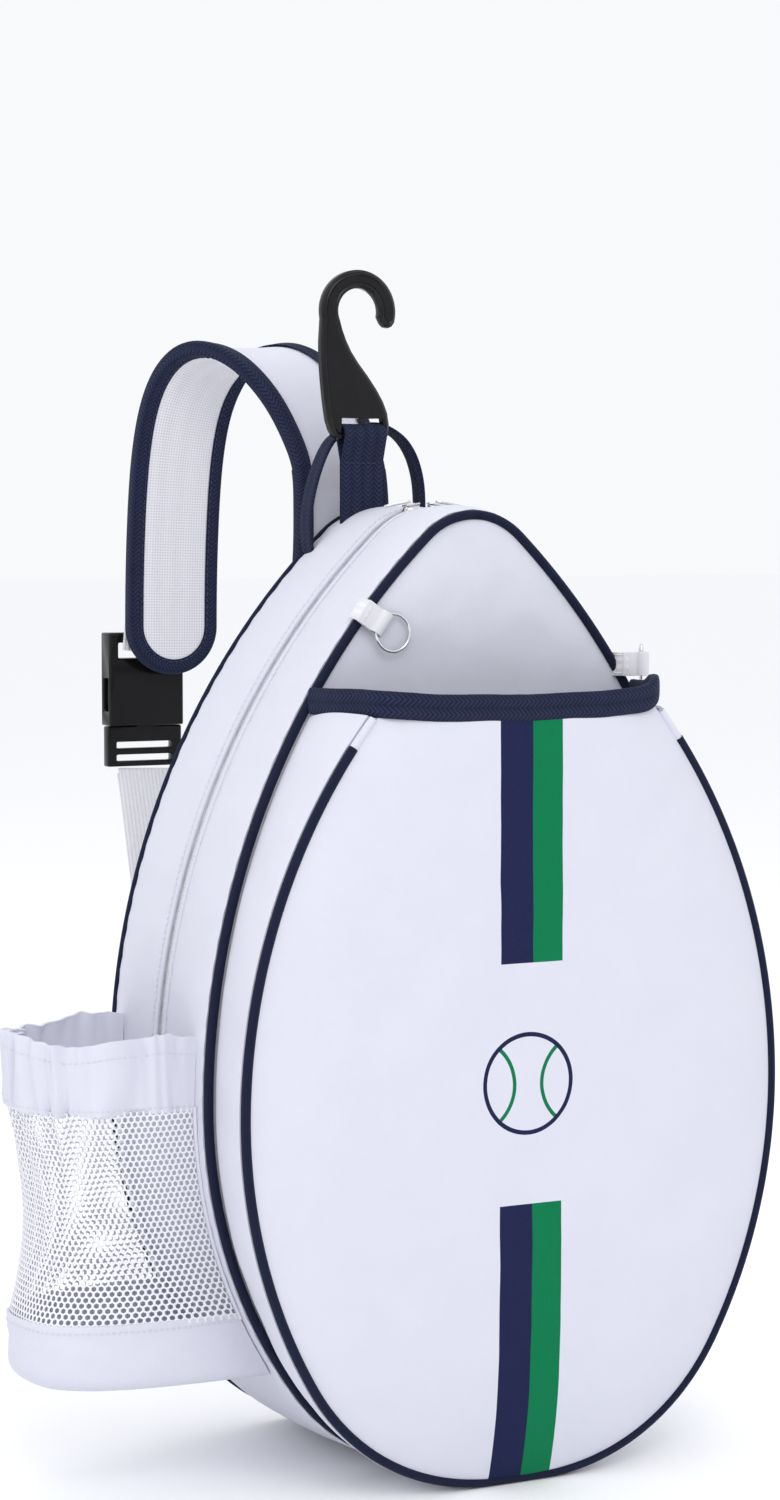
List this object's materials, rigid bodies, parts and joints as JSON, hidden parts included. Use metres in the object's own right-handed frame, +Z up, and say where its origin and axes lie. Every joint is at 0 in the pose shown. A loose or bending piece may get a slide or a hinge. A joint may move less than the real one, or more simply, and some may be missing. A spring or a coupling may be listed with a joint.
{
  "type": "racket sling backpack",
  "caption": "Teardrop sports backpack with an outer racket pocket, mesh bottle pocket, arched zip, fence hook, grab handle, padded strap and side-release buckle.",
  "frame": {"origin": "middle of the flat base, under the middle of the top seam", "axes": "+Z up, -Y the front with the racket pocket, +Y the wearer's side, +X the wearer's right"},
  "size_m": [0.376, 0.3054, 0.6017],
  "materials": {
    "white_canvas": "fine twill, slightly lustrous",
    "navy_trim": "woven herringbone tape",
    "white_mesh": "open knitted mesh",
    "grey_lining": "spacer mesh",
    "white_webbing": "ribbed webbing",
    "black_plastic": "moulded, satin to gloss",
    "steel": "nickel plated",
    "board": "plain stiffener"
  },
  "bodies": {
    "bag": {"back_panel": "white_canvas", "back_cushion": "grey_lining", "back_board": "board", "front_panel": "white_canvas", "gusset_lower": "white_canvas", "gusset_rear": "white_canvas", "gusset_front": "white_canvas", "zip_chain": "white_webbing", "piping_rear": "navy_trim", "piping_front": "navy_trim", "piping_pocket": "navy_trim", "racket_pocket_panel": "white_canvas", "racket_pocket_gusset": "white_canvas", "racket_pocket_binding": "navy_trim", "base_board": "board", "bottle_pocket_mesh": "white_mesh", "bottle_pocket_hem": "white_canvas", "bottle_pocket_base": "white_canvas", "ring_tab_left": "white_webbing", "ring_tab_right": "white_webbing", "strap_base": "white_canvas", "strap_anchor": "white_canvas"},
    "hook_tab": {"hook_tab": "navy_trim"},
    "fence_hook": {"fence_hook": "black_plastic"},
    "grab_handle": {"grab_handle": "navy_trim"},
    "ring_left": {"ring_left": "steel"},
    "ring_right": {"ring_right": "steel"},
    "zip_slider_left": {"zip_slider_left": "steel"},
    "zip_slider_right": {"zip_slider_right": "steel"},
    "zip_pull_left": {"zip_pull_left": "steel"},
    "zip_pull_right": {"zip_pull_right": "steel"},
    "shoulder_strap": {"strap_pad": "white_canvas", "strap_lining": "grey_lining", "strap_binding": "navy_trim", "strap_webbing_upper": "white_webbing", "strap_webbing_lower": "white_webbing", "strap_webbing_tail": "white_webbing", "buckle_socket": "black_plastic", "buckle_plug": "black_plastic"},
    "buckle_prong_left": {"buckle_prong_left": "black_plastic"},
    "buckle_prong_right": {"buckle_prong_right": "black_plastic"}
  },
  "joints": [
    {"name": "hook_tab_fold", "type": "hinge", "parent": "bag", "child": "hook_tab", "pos_m": [-0.014, 0.0418, 0.481], "axis": [1, 0, 0], "range_deg": [0, 55], "stiffness_Nm_per_rad": 0.2},
    {"name": "hook_tilt", "type": "hinge", "parent": "hook_tab", "child": "fence_hook", "pos_m": [-0.014, 0.0418, 0.517], "axis": [1, 0, 0], "range_deg": [-12, 25]},
    {"name": "handle_swing", "type": "hinge", "parent": "bag", "child": "grab_handle", "pos_m": [-0.006, 0.0525, 0.46], "axis": [1, 0, 0], "range_deg": [-5, 0], "stiffness_Nm_per_rad": 0.05},
    {"name": "ring_left_swing", "type": "hinge", "parent": "bag", "child": "ring_left", "pos_m": [-0.05458, -0.0583, 0.4224], "axis": [0.5736, 0, 0.8192], "range_deg": [-75, 0]},
    {"name": "ring_right_swing", "type": "hinge", "parent": "bag", "child": "ring_right", "pos_m": [0.095, -0.0583, 0.4], "axis": [0, 0, 1], "range_deg": [-90, 25]},
    {"name": "zip_left_travel", "type": "hinge", "parent": "bag", "child": "zip_slider_left", "pos_m": [0, 0, 0.438], "axis": [0, -1, 0], "range_deg": [0, 22]},
    {"name": "zip_right_travel", "type": "hinge", "parent": "bag", "child": "zip_slider_right", "pos_m": [0, 0, 0.438], "axis": [0, 1, 0], "range_deg": [0, 22]},
    {"name": "pull_left_flip", "type": "hinge", "parent": "zip_slider_left", "child": "zip_pull_left", "pos_m": [-0.00846, 0, 0.48251], "axis": [0, 1, 0], "range_deg": [0, 80]},
    {"name": "pull_right_flip", "type": "hinge", "parent": "zip_slider_right", "child": "zip_pull_right", "pos_m": [0.00846, 0, 0.48251], "axis": [0, -1, 0], "range_deg": [0, 80]},
    {"name": "strap_swing", "type": "hinge", "parent": "bag", "child": "shoulder_strap", "pos_m": [-0.0905, 0.08, 0.0775], "axis": [0.1979, -0.0036, 0.9802], "range_deg": [-24, 24], "stiffness_Nm_per_rad": 0.3},
    {"name": "prong_left_squeeze", "type": "hinge", "parent": "shoulder_strap", "child": "buckle_prong_left", "pos_m": [-0.09, 0.1864, 0.3618], "axis": [0, 1, 0], "range_deg": [0, 6], "stiffness_Nm_per_rad": 0.05},
    {"name": "prong_right_squeeze", "type": "hinge", "parent": "shoulder_strap", "child": "buckle_prong_right", "pos_m": [-0.061, 0.1864, 0.3618], "axis": [0, -1, 0], "range_deg": [0, 6], "stiffness_Nm_per_rad": 0.05}
  ],
  "couplings": [
    {"joint": "prong_right_squeeze", "follows": "prong_left_squeeze", "ratio": 1}
  ]
}
